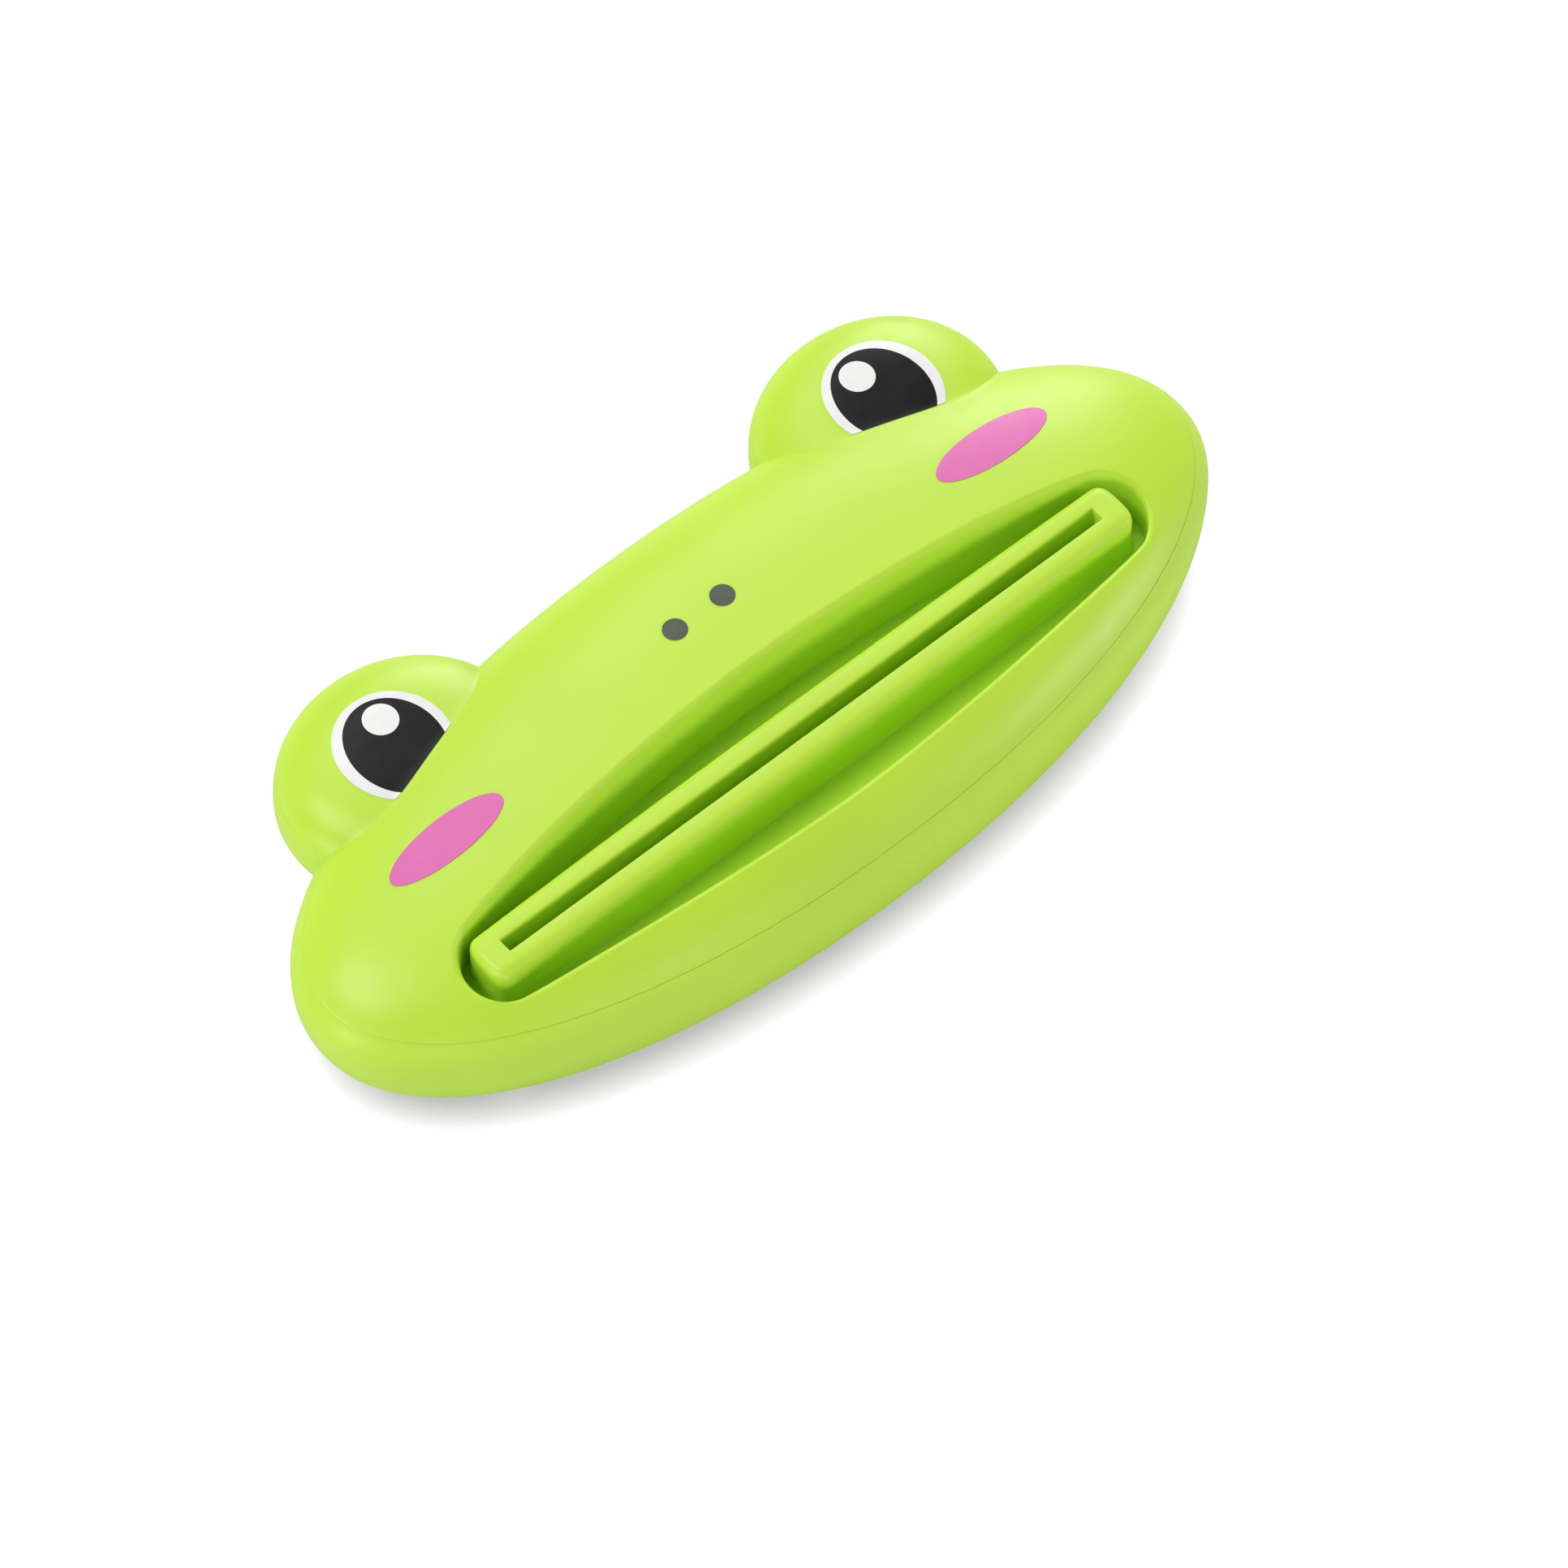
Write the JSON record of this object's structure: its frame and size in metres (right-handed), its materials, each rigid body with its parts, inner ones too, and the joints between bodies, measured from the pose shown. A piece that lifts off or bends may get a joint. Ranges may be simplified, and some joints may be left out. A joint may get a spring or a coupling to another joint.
{
  "type": "toothpaste dispenser",
  "caption": "Hand-pushed toothpaste tube squeezer: an oval shell with a frog's face and a long mouth slot that slides along a tube's flat tail.",
  "frame": {"origin": "bottom centre of the bounding box, on the plane of the flat back", "axes": "+X along the mouth slot, +Y from the chin to the eyes, +Z out of the face, the way a tube's tail leaves the slot"},
  "size_m": [0.095, 0.0434, 0.0186],
  "materials": {
    "lime_plastic": "satin gloss",
    "white_ink": "smooth printed ink",
    "black_ink": "smooth printed ink",
    "pink_ink": "smooth printed ink",
    "grey_ink": "smooth printed ink"
  },
  "bodies": {
    "root": {"front_shell": "lime_plastic", "rear_shell": "lime_plastic", "slot_sleeve": "lime_plastic", "eye_white_left": "white_ink", "eye_white_right": "white_ink", "pupil_left": "black_ink", "pupil_right": "black_ink", "eye_glint_left": "white_ink", "eye_glint_right": "white_ink", "cheek_left": "pink_ink", "cheek_right": "pink_ink", "nostril_left": "grey_ink", "nostril_right": "grey_ink"}
  },
  "joints": []
}
